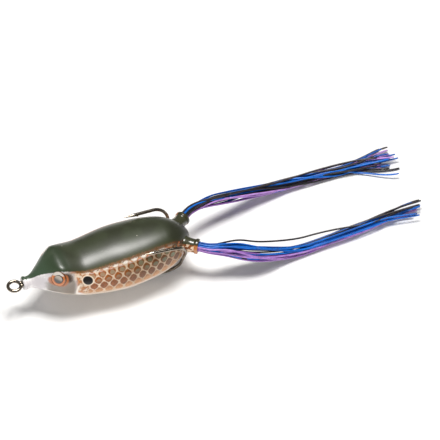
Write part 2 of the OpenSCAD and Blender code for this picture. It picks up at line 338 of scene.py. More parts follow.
def new_object(name, verts_mm, faces, smooth_shade=True):
    mesh = bpy.data.meshes.new(name)
    mesh.from_pydata((np.asarray(verts_mm) * MM).tolist(), [], faces)
    mesh.update()
    if smooth_shade:
        mesh.shade_smooth()
    ob = bpy.data.objects.new(name, mesh)
    bpy.context.scene.collection.objects.link(ob)
    return ob


def grid_faces(rows, around, base=0):
    """Quads between rings of points, each ring closed on itself."""
    out = []
    for i in range(rows - 1):
        for j in range(around):
            k = (j + 1) % around
            out.append((base + i * around + j, base + i * around + k,
                        base + (i + 1) * around + k, base + (i + 1) * around + j))  # fmt: skip
    return out


def lathe(profile, around):
    """A closed ring-shaped mesh round +Z from a closed (radius, height) profile."""
    a = np.arange(around) / around * 2 * np.pi
    p = np.array(profile, float)
    verts = np.stack(
        [p[:, :1] * np.cos(a), p[:, :1] * np.sin(a), np.repeat(p[:, 1:], around, 1)], -1
    )
    faces = grid_faces(len(p), around)
    last = (len(p) - 1) * around
    for j in range(around):
        k = (j + 1) % around
        faces.append((last + j, last + k, k, j))
    return verts.reshape(-1, 3), faces


def set_attribute(ob, name, values, kind="FLOAT"):
    field = "vector" if kind == "FLOAT_VECTOR" else "value"
    a = ob.data.attributes.get(name) or ob.data.attributes.new(name, kind, "POINT")
    a.data.foreach_set(field, np.asarray(values, np.float32).ravel())


def points_mm(ob):
    co = np.zeros(len(ob.data.vertices) * 3)
    ob.data.vertices.foreach_get("co", co)
    return co.reshape(-1, 3) / MM


def remember_rest(ob):
    set_attribute(ob, "rest", points_mm(ob), "FLOAT_VECTOR")


def paint(ob, material):
    ob.data.materials.clear()
    ob.data.materials.append(material)


def cut(ob, cutters):
    """Subtracts the cutters from ob, in place, and removes them."""
    for c in cutters:
        m = ob.modifiers.new("cut", "BOOLEAN")
        m.operation = "DIFFERENCE"
        m.solver = "EXACT"
        m.object = c
    bpy.context.view_layer.update()
    done = bpy.data.meshes.new_from_object(ob.evaluated_get(bpy.context.evaluated_depsgraph_get()))
    ob.modifiers.clear()
    ob.data = done
    for c in cutters:
        bpy.data.objects.remove(c)


# ---- The shell ----------------------------------------------------------------------------

EYE_F, EYE_A = 0.175, 30.0
EYE_SINK, EYE_R, EYE_DISC_H, EYE_DOME_H = 1.0, 2.9, 0.6, 0.62
EYE_SEAT_R, EYE_SEAT_H = EYE_R + 0.6, 1.1
NOSE_BORE_R = 1.7
NOSE_BEAD_H, NOSE_BEAD_X, NOSE_BEAD_REACH, NOSE_LIP = 0.32, 0.75, 0.55, 0.3
HOLLOW_START, HOLLOW_RUN = 0.075, 0.88  # as shares of the shell's length
SLOT_FRONT_X, SLOT_REAR_X, SLOT_FRONT_R, SLOT_REAR_R = 33.5, 61.0, 3.45, 6.2
SLOT_REAR_ROUND, SLOT_LOW_Z, SLOT_HIGH_Z = 4.0, -14.0, -5.0
TUBE_R, TUBE_BORE_R, TUBE_LIP_R, TUBE_RUN, TUBE_HOLE_R = 2.6, 2.05, 2.9, 9.5, 2.3
TUBE_SPLAY = math.radians(36)
MOUTH_X, MOUTH_Y = 70.2, 7.7


def surface_frame(f, degrees, side):
    """The point, outward normal and a forward direction on the shell."""
    p = shell_point(f, degrees)
    round_it = shell_point(f, degrees + 2) - shell_point(f, degrees - 2)
    along = shell_point(f + 0.01, degrees) - shell_point(f - 0.01, degrees)
    n = np.cross(round_it, along)
    n /= np.linalg.norm(n)
    if side == LEFT:
        p, n, along = (v * np.array([1, -1, 1]) for v in (p, n, along))
    along = along - n * (along @ n)
    return p, n, along / np.linalg.norm(along)


def shell_outer():
    around = 200
    deg = 360 * np.arange(around) / around
    f = np.concatenate([
        np.linspace(0, 0.03, 22)[:-1], np.linspace(0.03, 0.3, 70)[:-1],
        np.linspace(0.3, 0.84, 90)[:-1],
        0.84 + 0.1595 * np.sin(np.linspace(0, np.pi / 2, 46)),
    ])  # fmt: skip
    rings = shell_point(f[:, None], deg[None, :])
    along = f * SHELL_LENGTH
    bead = NOSE_BEAD_H * np.exp(-(((along - NOSE_BEAD_X) / NOSE_BEAD_REACH) ** 4))[:, None]
    rings[:, :, 1] += bead * np.cos(np.radians(deg))
    rings[:, :, 2] += bead * np.sin(np.radians(deg))
    # The nose lip is rounded over into the bore that the hook's wires come out of.
    front = rings[0]
    centre = np.array([NOSE_X, 0, 0])
    outward = (front - centre) / np.linalg.norm(front - centre, axis=1)[:, None]
    lip_r = np.linalg.norm(front - centre, axis=1)[:, None]
    bore = []
    for depth in (6.5, 1.2, 0.45):
        bore.append(centre + np.array([depth, 0, 0]) + outward * NOSE_BORE_R)
    for a in np.radians([180, 150, 120, 90, 60, 30]):
        mid_r = (lip_r + NOSE_BORE_R) / 2
        half = (lip_r - NOSE_BORE_R) / 2
        bore.append(centre + outward * (mid_r + half * np.cos(a))
                    + np.array([NOSE_LIP * (1 - math.sin(a)), 0, 0]))  # fmt: skip
    rings = np.concatenate([np.array(bore), rings])
    verts = rings.reshape(-1, 3)
    n = len(rings)
    faces = grid_faces(n, around)
    faces.append(tuple(range(around - 1, -1, -1)))
    faces.append(tuple((n - 1) * around + j for j in range(around)))
    return new_object("body", verts, faces)


def shell_inner():
    around = 72
    deg = 360 * np.arange(around) / around
    f = HOLLOW_START + HOLLOW_RUN * np.sin(np.linspace(0, 1, 60) * np.pi / 2) ** 1.3
    rings = shell_point(f[:, None], deg[None, :], WALL)
    faces = grid_faces(len(f), around)
    faces.append(tuple(range(around - 1, -1, -1)))
    faces.append(tuple((len(f) - 1) * around + j for j in range(around)))
    return new_object("hollow", rings.reshape(-1, 3), faces)


def belly_slot():
    outline = [
        (SLOT_FRONT_X + SLOT_FRONT_R * (1 + math.cos(a)), SLOT_FRONT_R * math.sin(a))
        for a in np.radians(np.arange(90, 271, 10))
    ] + [
        (SLOT_REAR_X + SLOT_REAR_ROUND * (math.cos(a) - 1), SLOT_REAR_R * math.sin(a))
        for a in np.radians(np.arange(-90, 91, 10))
    ]
    n = len(outline)
    verts = [(x, y, z) for z in (SLOT_LOW_Z, SLOT_HIGH_Z) for x, y in outline]
    faces = [tuple(range(n))[::-1], tuple(range(n, 2 * n))]
    faces += [(i, (i + 1) % n, n + (i + 1) % n, n + i) for i in range(n)]
    return new_object("slot", verts, faces)


def rod(name, start, direction, length, radius, around=64):
    """A closed cylinder from a point, along a unit direction."""
    direction = np.asarray(direction, float)
    across = np.cross(direction, [0.3, 0.4, 0.866])
    across /= np.linalg.norm(across)
    upward = np.cross(direction, across)
    a = np.arange(around) / around * 2 * np.pi
    ring = start + radius * (np.cos(a)[:, None] * across + np.sin(a)[:, None] * upward)
    verts = np.concatenate([ring, ring + direction * length])
    faces = [tuple(range(around))[::-1], tuple(range(around, 2 * around))]
    faces += [(i, (i + 1) % around, around + (i + 1) % around, around + i) for i in range(around)]
    return new_object(name, verts, faces)


def eye_socket(side):
    p, n, _ = surface_frame(EYE_F, EYE_A, side)
    return rod("socket", p - n * (EYE_SINK + 0.02), n, 4, EYE_R + 0.08)


def eye_seat(side):
    """The part of the hollow that a thicker pad behind the eye fills."""
    p, n, _ = surface_frame(EYE_F, EYE_A, side)
    return rod("seat", p - n * (EYE_SINK + EYE_SEAT_H), n, EYE_SEAT_H, EYE_SEAT_R)


def leg_bore(side):
    """The way through the wall for a leg tube, a little smaller than the tube."""
    inward = np.array([-math.cos(TUBE_SPLAY), -side * math.sin(TUBE_SPLAY), 0])
    return rod("bore", np.array([MOUTH_X, side * MOUTH_Y, 0]), inward, TUBE_RUN, TUBE_HOLE_R)


# Where the back's paint ends, in degrees above the side, along the lure: high at the nose,
# level along the flank and lower at the tail.
PAINT_EDGE = [[0, 80], [5, 76], [10, 60], [15, 50], [50, 52], [60, 48], [65, 38], [70, 30]]


# The back was sprayed a little further down the right side, and more so at the nose.
RIGHT_EDGE_DROP, RIGHT_NOSE_DROP = 8.0, 34.0  # in degrees


def mark_shell(ob):
    """Stores where each point is on the shell, for the paint."""
    p = points_mm(ob)
    f = np.clip((p[:, 0] - NOSE_X) / SHELL_LENGTH, 0, 0.9995)
    w, mid, h, n = section(f)
    w, h = np.maximum(w, 0.05), np.maximum(h, 0.05)
    c, s = np.abs(p[:, 1]) / w, (p[:, 2] - mid) / h
    tilt = np.degrees(np.arctan2(np.sign(s) * np.abs(s) ** (n / 2), c ** (n / 2)))
    reach = (c**n + np.abs(s) ** n) ** (1 / n)
    distance_in = (1 - reach) * np.minimum(w, h)
    set_attribute(ob, "along", p[:, 0])
    set_attribute(ob, "tilt", tilt)
    near_nose = ease(-p[:, 0], -17, -10)
    drop = RIGHT_EDGE_DROP + (RIGHT_NOSE_DROP - RIGHT_EDGE_DROP) * near_nose
    edge = smooth(PAINT_EDGE, p[:, 0], 1) - drop * ease(p[:, 1], -0.5, 0.5)
    set_attribute(ob, "above_edge", tilt - edge)
    inside = (distance_in > 0.55) & (p[:, 0] > NOSE_X + 2.5)
    set_attribute(ob, "inside", inside.astype(float))
    remember_rest(ob)


def shell_graph():
    """The shell's material, with where a point is on the shell and noise of four sizes."""
    g = Graph("shell_paint", roughness=0.34, coat=0.3, coat_roughness=0.3)
    g.x, g.tilt, g.edge = g.attribute("along"), g.attribute("tilt"), g.attribute("above_edge")
    g.place = g.rest()
    g.grain = g.noise(g.place, 0.22, 2)
    g.fine = g.noise(g.place, 0.45, 3, 0.6)
    g.blotch = g.noise(g.place, 1.6, 3, 0.6)
    g.cloud = g.noise(g.place, 7.0, 2)
    return g


def oval(g, x, tilt, mm_per_degree):
    """The distance on the flank from a place, in millimetres."""
    return ((g.x - x) ** 2.0 + ((g.tilt - tilt) * mm_per_degree) ** 2.0) ** 0.5


def netting(g):
    """Rounded diamonds in rows that follow the lure: the place from a cell's centre, how near
    it is to the cell's edge, and 1 inside a cell."""
    pitch, row_step, first_x, first_tilt, row_mm = 3.74, 14.2, 45.9, 7.2, 2.75
    cell_long, cell_high, roundness = 1.52, 1.80, 1.55
    wobble = (g.blotch - 0.5) * 0.16
    u = (g.x - first_x) / pitch + wobble
    r = (g.tilt - first_tilt) / (row_step * 2) + wobble * 0.35

    def cell(shift):
        dx = (g.fract(u + shift + 0.5) - 0.5) * pitch
        dy = (g.fract(r + shift + 0.5) - 0.5) * (2 * row_mm)
        shares = (abs(dx) / cell_long) ** roundness + (abs(dy) / cell_high) ** roundness
        return dx, dy, shares ** (1 / roundness)

    ax, ay, a_size = cell(0.0)
    bx, by, b_size = cell(0.5)
    size = g.low(a_size, b_size)
    use_b = g.math("LESS_THAN", b_size, a_size)
    dx, dy = ax + (bx - ax) * use_b, ay + (by - ay) * use_b
    return dx, dy, size, g.step(size + (g.grain - 0.5) * 0.25, 1.13, 0.86)


def cell_fill(g, dx, dy, size):
    """What the cells are filled with, from the upper rows down to the belly."""
    x, tilt, fine = g.x, g.tilt, g.fine
    rear = g.step(x, 26, 50)
    brown = g.mix(rear, rgb(168, 88, 22), rgb(106, 60, 12))
    brown = g.mix(g.step(tilt, 30, 8) * 0.4, brown, rgb(122, 66, 20))
    brown = g.mix(g.step(fine, 0.60, 0.40) * 0.55, brown, rgb(60, 34, 12))
    tan = g.mix(g.step(fine, 0.35, 0.65), rgb(164, 104, 52), rgb(198, 148, 102))
    fill = g.mix(g.step(tilt + (fine - 0.5) * 6 - dy * 3.0, 2.0, -9.0), brown, tan)
    heart_r = ((dx - 0.12) ** 2.0 + (dy + 0.42) ** 2.0) ** 0.5
    heart = g.step(heart_r + (g.grain - 0.5) * 0.4, 1.12, 0.82)
    grey = g.mix(rear, rgb(158, 134, 108), rgb(100, 100, 78))
    grey = g.mix(g.step(x, 52, 60), grey, rgb(112, 122, 98))
    grey = g.mix(g.step(fine, 0.52, 0.66) * 0.6, grey, brown)
    heart_rows = g.step(tilt + g.step(x, 44, 58) * 9, 13, 26)
    fill = g.mix(heart * heart_rows * 0.92, fill, grey)
    pearl = g.mix(fine, rgb(198, 186, 172), rgb(238, 232, 224))
    rim = g.step(size, 0.62, 0.80) * g.step(dy + dx * 0.3, -0.2, 0.5)
    upper_row = g.mix(rim * g.step(fine, 0.42, 0.54), pearl, rgb(196, 98, 40))
    return g.mix(g.step(tilt, 38, 44), fill, upper_row)


def flank_paint(g, fill, in_cell, belly):
    """The cells in their net, down to where the belly's plain colour begins."""
    net = g.mix(g.step(g.x, 22, 46), rgb(228, 208, 184), rgb(176, 154, 128))
    net = g.mix(g.step(g.blotch, 0.48, 0.62) * 0.55, net, rgb(160, 112, 70))
    show = g.step(g.tilt + (g.blotch - 0.5) * 6, -20, -10)
    return g.mix(show, belly, g.mix(in_cell, net, fill))


def cheek_paint(g):
    """A fine dark mesh on silver, woven like bricks."""
    x, tilt = g.x, g.tilt
    mesh_x, mesh_t = x / 0.88, tilt / 3.6
    odd = g.math("GREATER_THAN", g.fract(mesh_t * 0.5), 0.5)
    dash_x = abs(g.fract(mesh_x + odd * 0.5) - 0.5)
    dash_t = abs(g.fract(mesh_t) - 0.5)
    dash = g.step(dash_x + (g.grain - 0.5) * 0.2, 0.46, 0.34) * g.step(dash_t, 0.44, 0.26)
    silver = g.mix(g.step(tilt, -8, 26), rgb(176, 164, 152), rgb(214, 206, 198))
    silver = g.mix(g.step(x, 14, 19) * 0.45, silver, rgb(140, 116, 92))
    return g.mix(dash * 0.92, silver, rgb(46, 37, 30))


def head_paint(g, belly):
    """The pearly nose, with the cheek behind it."""
    x, tilt = g.x, g.tilt
    cheek_top = g.step(tilt + g.step(x, 16.5, 13) * 26, 54, 42)
    cheek_zone = g.band(x + (g.blotch - 0.5) * 1.5, 10.8, 20.6, 1.2)
    cheek_zone = cheek_zone * g.step(tilt, -34, -22) * cheek_top
    nose_cloud = g.step(g.cloud + (g.fine - 0.5) * 0.3, 0.42, 0.62)
    nose = g.mix(nose_cloud, rgb(244, 240, 238), rgb(206, 200, 202))
    head = g.mix(cheek_zone, nose, cheek_paint(g))
    return g.mix(g.step(tilt, -16, -34) * g.step(x, 12, 17), head, belly)


def add_gill(g, side):
    """Rusty blotches in front of the first cells, and the pale line of the gill cover."""
    x, tilt, fine, blotch = g.x, g.tilt, g.fine, g.blotch
    rust = g.mix(g.step(fine, 0.40, 0.60), rgb(196, 128, 74), rgb(134, 84, 44))
    rust = g.mix(g.step(blotch, 0.46, 0.56), rust, rgb(208, 190, 168))
    patch_zone = g.band(x + (blotch - 0.5) * 3, 20.8, 25.5, 0.8) * g.step(tilt, -18, -8)
    side = g.mix(patch_zone * g.step(x, 26.5, 24.5), side, rust)
    curve = x - (tilt + 10) * (tilt + 10) * 0.002
    gill = g.band(curve, 20.4, 21.1, 0.25) * g.band(tilt, -32, 12, 4)
    return g.mix(gill * 0.8, side, rgb(240, 230, 218))


def add_eye_surround(g, side):
    """A dark brown patch behind the eye, partly paint and partly painted shade of the eye's socket,
    and an orange ring round it that is open at the top.
    """
    # Dark brown behind the eye: partly paint, partly painted shade of the socket.
    corner = g.step(oval(g, 17.9, 33, 0.13) + (g.fine - 0.5) * 1.2, 2.3, 0.9)
    side = g.mix(corner * 0.9, side, rgb(50, 30, 18))
    ring = g.step(oval(g, 14.8, 30, 0.135) + (g.fine - 0.5) * 0.7, 3.7, 3.0) * g.step(g.tilt, 44, 38)
    return g.mix(ring * 0.85, side, rgb(178, 104, 54))


def add_spot(g, side):
    """The black false-gill spot and its pale ring."""
    spot_r = oval(g, 25.2, 25.5, 0.166)
    side = g.mix(g.step(spot_r, 2.5, 2.1) * 0.85, side, rgb(232, 214, 192))
    return g.mix(g.step(spot_r + (g.grain - 0.5) * 0.15, 1.98, 1.78), side, rgb(22, 19, 17))


def add_spray(g, side):
    """Rust and sprayed specks that thin out below the back's edge, and a dark tail."""
    x, edge, fine, blotch = g.x, g.edge, g.fine, g.blotch
    rust_reach = edge + (blotch - 0.5) * 10 + g.step(x, 34, 60) * 3
    rust_band = g.step(rust_reach, -6.5, -1.5) * g.step(x, 17, 21)
    rust_tone = g.mix(g.step(x, 24, 56), rgb(150, 84, 30), rgb(92, 50, 16))
    side = g.mix(rust_band * g.step(fine, 0.66, 0.42) * 0.9, side, rust_tone)
    spray = g.step(fine + g.step(edge, -12, -1) * 0.34, 0.72, 0.80) * g.step(x, 18, 24)
    speck_colour = g.mix(g.step(g.grain, 0.45, 0.6), rgb(112, 64, 22), rgb(74, 70, 32))
    side = g.mix(spray * 0.9, side, speck_colour)
    tail_dark = g.step(x + (blotch - 0.5) * 4, 57, 63) * g.step(edge, -26, -8)
    side = g.mix(tail_dark * g.step(fine, 0.66, 0.46), side, rgb(60, 36, 16))
    return g.mix(tail_dark * g.step(blotch, 0.56, 0.62), side, rgb(168, 92, 38))


def back_paint(g):
    """Olive green, bluer at the nose and lighter there as painted light on its forward slope, with a
    band of painted shade over the head between the brows, darker at the tail, and a few specks of
    dust.
    """
    x, edge, cloud = g.x, g.edge, g.cloud
    olive = g.mix(g.step(cloud, 0.35, 0.65), rgb(44, 48, 30), rgb(54, 60, 40))
    # Bluer olive at the nose, and lighter there too: painted light on the forward-facing slope.
    olive = g.mix(g.step(x + (cloud - 0.5) * 8, 22, 9), olive, rgb(62, 80, 60))
    # A darker band over the head between the brows: painted shade.
    olive = g.mix(g.band(x, 13, 19, 2.5) * g.step(cloud, 0.6, 0.4) * 0.7, olive, rgb(40, 54, 32))
    olive = g.mix(g.step(edge, 9, 1) * g.step(x, 22, 30) * 0.6, olive, rgb(70, 66, 34))
    olive = g.mix(g.step(x, 54, 66) * 0.7, olive, rgb(32, 33, 20))
    olive = g.mix(g.step(g.grain, 0.60, 0.80) * 0.30, olive, rgb(84, 90, 66))
    dust = g.node("ShaderNodeTexVoronoi")
    g.tree.links.new(g.place, dust.inputs["Vector"])
    dust.inputs["Scale"].default_value = 1 / 5.0
    speck = g.step(Value(g, dust.outputs["Distance"]), 0.045, 0.030)
    return g.mix(speck * g.step(cloud, 0.44, 0.50), olive, rgb(196, 190, 170))


def shell_paint():
    g = shell_graph()
    dx, dy, size, in_cell = netting(g)
    belly = g.mix(g.cloud, rgb(226, 214, 202), rgb(206, 188, 168))
    flank = flank_paint(g, cell_fill(g, dx, dy, size), in_cell, belly)
    side = g.mix(g.step(g.x + (g.blotch - 0.5) * 2, 21.5, 23.5), head_paint(g, belly), flank)
    for add in (add_gill, add_eye_surround, add_spot, add_spray):
        side = add(g, side)
    back_share = g.step(g.edge + (g.fine - 0.5) * 9 + (g.grain - 0.5) * 3, -1.2, 1.2)
    colour = g.mix(back_share, side, back_paint(g))
    colour = g.mix(g.attribute("inside"), colour, rgb(206, 204, 190))
    relief = g.fine * 0.02 + g.grain * 0.012 + in_cell * (1 - back_share) * 0.02
    g.bump(relief, 1.0, 0.5)
    return g.finish(colour, 0.32 + g.fine * 0.10)


body = shell_outer()
hollow = shell_inner()
cut(hollow, [eye_seat(LEFT), eye_seat(RIGHT)])
openings = [make(side) for make in (eye_socket, leg_bore) for side in (LEFT, RIGHT)]
cut(body, [hollow, belly_slot(), *openings])
mark_shell(body)
body.data.shade_smooth()
body.data.set_sharp_from_angle(angle=math.radians(38))
paint(body, shell_paint())
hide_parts("body_shell")
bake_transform(body)


# ---- Leg tubes ----------------------------------------------------------------------------


def tube_paint():
    g = Graph("tube_paint", roughness=0.26, coat=0.5, coat_roughness=0.12)
    backward, reach = g.attribute("back_side"), g.attribute("reach")
    rest = g.rest()
    fine = g.noise(rest, 0.4, 3, 0.6)
    blotch = g.noise(rest, 1.5, 2)
    olive = g.mix(fine, rgb(42, 44, 28), rgb(70, 70, 48))
    # Cream blotches on the underside: pale paint with painted highlight spots in it.
    cream_and_highlight = g.mix(fine, rgb(236, 220, 198), rgb(208, 160, 112))
    rust = g.mix(fine, rgb(156, 84, 30), rgb(84, 46, 18))
    low = g.mix(g.step(blotch, 0.44, 0.54), cream_and_highlight, rust)
    colour = g.mix(g.step(backward + (fine - 0.5) * 0.4, -0.08, 0.10), low, olive)
    lip = g.mix(g.step(backward + (fine - 0.5) * 0.4, -0.05, 0.2), rgb(178, 108, 50), rgb(54, 50, 30))
    colour = g.mix(g.step(reach, 1.5, 1.2) * 0.85, colour, lip)
    g.bump(fine * 0.02, 1.0, 0.5)
    return g.finish(colour)


def leg_tube(name, side, material):
    profile = [
        (TUBE_BORE_R, TUBE_RUN), (TUBE_BORE_R, 3.0), (TUBE_BORE_R, 0.9), (TUBE_BORE_R, 0.35),
        (TUBE_BORE_R + 0.08, 0.14), (TUBE_BORE_R + 0.24, 0.02), (TUBE_BORE_R + 0.5, 0.0),
        (TUBE_LIP_R - 0.16, 0.05), (TUBE_LIP_R - 0.03, 0.22), (TUBE_LIP_R, 0.5),
        (TUBE_LIP_R, 0.95), (TUBE_LIP_R - 0.03, 1.15), (TUBE_LIP_R - 0.14, 1.30),
        (TUBE_R + 0.06, 1.42), (TUBE_R, 1.62), (TUBE_R, 2.0), (TUBE_R + 0.03, 2.6),
        (TUBE_R + 0.14, 3.4), (TUBE_R + 0.36, 4.2), (TUBE_R + 0.66, 5.0), (TUBE_R + 0.8, 6.0),
        (TUBE_R + 0.4, 7.6), (TUBE_R - 0.1, TUBE_RUN),
    ]  # fmt: skip
    local, faces = lathe(profile, 72)
    inward = np.array([-math.cos(TUBE_SPLAY), -side * math.sin(TUBE_SPLAY), 0])
    across = np.array([-inward[1], inward[0], 0])
    upward = np.array([0, 0, 1.0])
    mouth = np.array([MOUTH_X, side * MOUTH_Y, 0])
    verts = mouth + local[:, 2:] * inward + local[:, :1] * across + local[:, 1:2] * upward
    ob = new_object(name, verts, faces)
    # The back's paint covers a tube's top and its inner side; its outer side is left bare.
    outer, up = local[:, 0] * np.sign(across[1]) * side, local[:, 1]
    set_attribute(ob, "back_side", (0.82 * up - 0.57 * outer) / TUBE_R - 0.26)
    set_attribute(ob, "reach", local[:, 2])
    remember_rest(ob)
    paint(ob, material)
    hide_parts("body_shell")
    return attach(ob, "hook")


tube_material = tube_paint()
for word, side in SIDES.items():
    leg_tube(f"{word}_leg_tube", side, tube_material)


# ---- Eyes ---------------------------------------------------------------------------------


def eye_paint():
    """The printed eye: a pupil, lighter at its top and towards the tail as a painted reflection, an
    orange iris that opens at the top under a painted silver reflection, and a dark rim at its back
    that is painted shadow of the socket.
    """
    g = Graph("eye_print_and_painted_light", roughness=0.22, coat=1.0, coat_roughness=0.03)
    radius, height, ahead = g.attribute("radius"), g.attribute("height"), g.attribute("ahead")
    rest = g.rest()
    fine = g.noise(rest, 0.25, 3, 0.6)
    iris = g.mix(fine, rgb(206, 122, 62), rgb(160, 82, 38))
    iris = g.mix(g.step(radius, 1.9, 2.5) * 0.35, iris, rgb(226, 150, 92))
    # Silver over the top of the eye: a painted reflection of the light above.
    silver = g.mix(fine, rgb(224, 216, 206), rgb(176, 168, 160))
    colour = g.mix(g.step(height + (fine - 0.5) * 0.9 - ahead * 0.15, 1.0, 1.6), iris, silver)
    # A dark ring at the back of the eye's edge: painted shadow of the socket.
    socket_shadow_rim = g.step(radius - ahead * 0.25, 2.75, 3.2)
    colour = g.mix(socket_shadow_rim, colour, rgb(96, 56, 30))
    colour = g.mix(g.step(radius, 1.80, 1.66), colour, rgb(40, 36, 34))
    # The pupil is light grey at its top and towards the tail as a painted reflection of the softbox,
    # and dark grey below.
    pupil = g.mix(g.step(height - ahead * 0.6, -0.9, 0.8), rgb(72, 70, 68), rgb(176, 166, 154))
    colour = g.mix(g.step(radius + (ahead * -0.10), 1.62, 1.40), colour, pupil)
    return g.finish(colour)


def eye(word, side, material):
    p, n, along = surface_frame(EYE_F, EYE_A, side)
    upward = np.cross(n, along)
    if upward[2] < 0:
        upward = -upward
    base = p + n * (EYE_DISC_H - EYE_SINK)
    around, rings = 72, 20
    rim = EYE_R - 0.02
    a = np.arange(around) / around * 2 * np.pi
    verts, local = [], []
    edge = 0.15  # the share of the rings that makes the edge, up from the socket
    for i in range(rings + 1):
        t = i / rings
        if t < edge:
            r, h = rim, -0.5 + 0.5 * t / edge
        else:
            s = (t - edge) / (1 - edge)
            r = rim * math.cos(s * math.pi / 2) ** 0.9 if s < 1 else 0.02
            h = EYE_DOME_H * math.sin(s * math.pi / 2) ** 1.4
        r = max(r, 0.02)
        for q in a:
            u, v = r * math.cos(q), r * math.sin(q)
            verts.append(base + along * u + upward * v + n * h)
            local.append((r, v, -u))
    faces = grid_faces(rings + 1, around)
    faces.append(tuple(rings * around + j for j in range(around)))
    faces.append(tuple(range(around - 1, -1, -1)))
    if np.dot(np.cross(along, upward), n) < 0:
        faces = [f[::-1] for f in faces]
    ob = new_object(f"{word}_eye", verts, faces)
    local = np.array(local)
    set_attribute(ob, "radius", local[:, 0])
    set_attribute(ob, "height", local[:, 1])
    set_attribute(ob, "ahead", local[:, 2])
    remember_rest(ob)
    paint(ob, material)
    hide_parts(f"{word}_eye_dome")
    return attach(ob, "shell")


eye_material = eye_paint()
for word, side in SIDES.items():
    eye(word, side, eye_material)


# ---- Legs ---------------------------------------------------------------------------------

# Each leg's middle line: distance along the lure, then across it.
LEG_LINES = {
    "left": [
        [MOUTH_X, -MOUTH_Y], [74, -10.2], [80, -12], [90, -14.5], [105, -15], [125, -14],
        [145, -12.5], [160, -13],
    ],
    "right": [
        [MOUTH_X, MOUTH_Y], [74, 10.2], [80, 12], [90, 13.5], [105, 15.5], [120, 16.5],
        [140, 15.5], [160, 13],
    ],
}  # fmt: skip
LANDING_X = {"left": 112.0, "right": 120.0}  # where each leg has come down to its lowest
LEG_DROP = 10.5
STRAND_R = 0.34
STRANDS = 25
SPLIT_X = 90.0  # where each strand's inner piece hands over to its outer piece
LEG_TURN = (MOUTH_X - 0.3, 79.0)  # places along a leg where it would bend as it swings; read below, not used to bend it
TIP_TURN = (96.0, 112.0)  # and where its tip would flex; likewise not used
GOLDEN_ANGLE = 2.39996
LEG_SPREAD = 1.58  # how far a strand lies from the middle line at the mouth, at most
PRESSED_H = 1.2  # strands lower than this above the floor lie flatter
LONGEST_X, LENGTH_SPREAD, CUT_SHORT = 159.2, 7.5, 2.5  # where the tips end
COLOURS = ("blue", "black", "violet")


def leg_frame(word, x):
    """Points, sideways and upward directions along a leg's middle line. Before the mouth it
    follows the tube."""
    x = np.asarray(x, float)
    line = LEG_LINES[word]
    side = SIDES[word]

    def at(v):
        y = smooth(line, np.maximum(v, MOUTH_X), 1)
        y = np.where(v < MOUTH_X, side * (MOUTH_Y + (v - MOUTH_X) * math.tan(TUBE_SPLAY)), y)
        return np.stack([v, y, -LEG_DROP * ease(v, MOUTH_X, LANDING_X[word])], -1)

    c = at(x)
    t = at(x + 0.2) - at(x - 0.2)
    t /= np.linalg.norm(t, axis=1)[:, None]
    n = np.cross([0, 0, 1.0], t)
    n /= np.linalg.norm(n, axis=1)[:, None]
    return c, n, np.cross(t, n)


def wander(x, scale, seed):
    """A slow smooth wave between about -1 and 1."""
    g = np.random.default_rng(seed)
    out = np.zeros_like(x)
    for k in range(3):
        out += g.normal() * np.sin(x / scale * (0.6 + 0.5 * k) + g.uniform(0, 6.3)) / (1 + k)
    return out / 1.6


def strand_colours(word):
    """Which colour each strand has: the colours lie in bands across the tube's mouth."""
    i = np.arange(STRANDS)
    share, turn = np.sqrt((i + 0.5) / STRANDS), i * GOLDEN_ANGLE
    u, v = share * np.cos(turn), share * np.sin(turn)
    jitter = 0.25 * np.sin(i * 12.9)
    if word == "left":
        # violet on the near side, black underneath, and blue on top
        bands = [("violet", -0.9 * u - 0.4 * v, 6), ("black", -v, 7), ("blue", v, STRANDS)]
    else:
        far = 0.6 * v + 0.8 * u
        bands = [("black", far, 3), ("blue", far, 10), ("black", far, 6), ("violet", far, STRANDS)]
    colours = {}
    for colour, score, count in bands:
        order = [int(k) for k in np.argsort(-(score + jitter)) if int(k) not in colours]
        colours.update({k: colour for k in order[:count]})
    return colours


def tube_mesh(path, radius, sides=7):
    """Rings of points round a path, closed with a small cap at each end."""
    t = np.gradient(path, axis=0)
    t /= np.linalg.norm(t, axis=1)[:, None]
    n = np.cross([0, 0, 1.0], t)
    n /= np.linalg.norm(n, axis=1)[:, None]
    b = np.cross(t, n)
    a = np.arange(sides) / sides * 2 * np.pi
    rings = path[:, None] + radius[:, None, None] * (
        np.cos(a)[None, :, None] * n[:, None] + np.sin(a)[None, :, None] * b[:, None]
    )
    faces = grid_faces(len(path), sides)
    faces.append(tuple(range(sides - 1, -1, -1)))
    faces.append(tuple((len(path) - 1) * sides + j for j in range(sides)))
    return rings.reshape(-1, 3), faces


# How each leg opens: its bulge past the tube (size, place, half length) and its fan at the tips.
BULGE = {"left": (0.62, 89, 12), "right": (0.15, 92, 14)}
FAN = {"left": 3.2, "right": 5.4}
LOOSE_STRAND = 21  # one black strand arches clear of the left leg


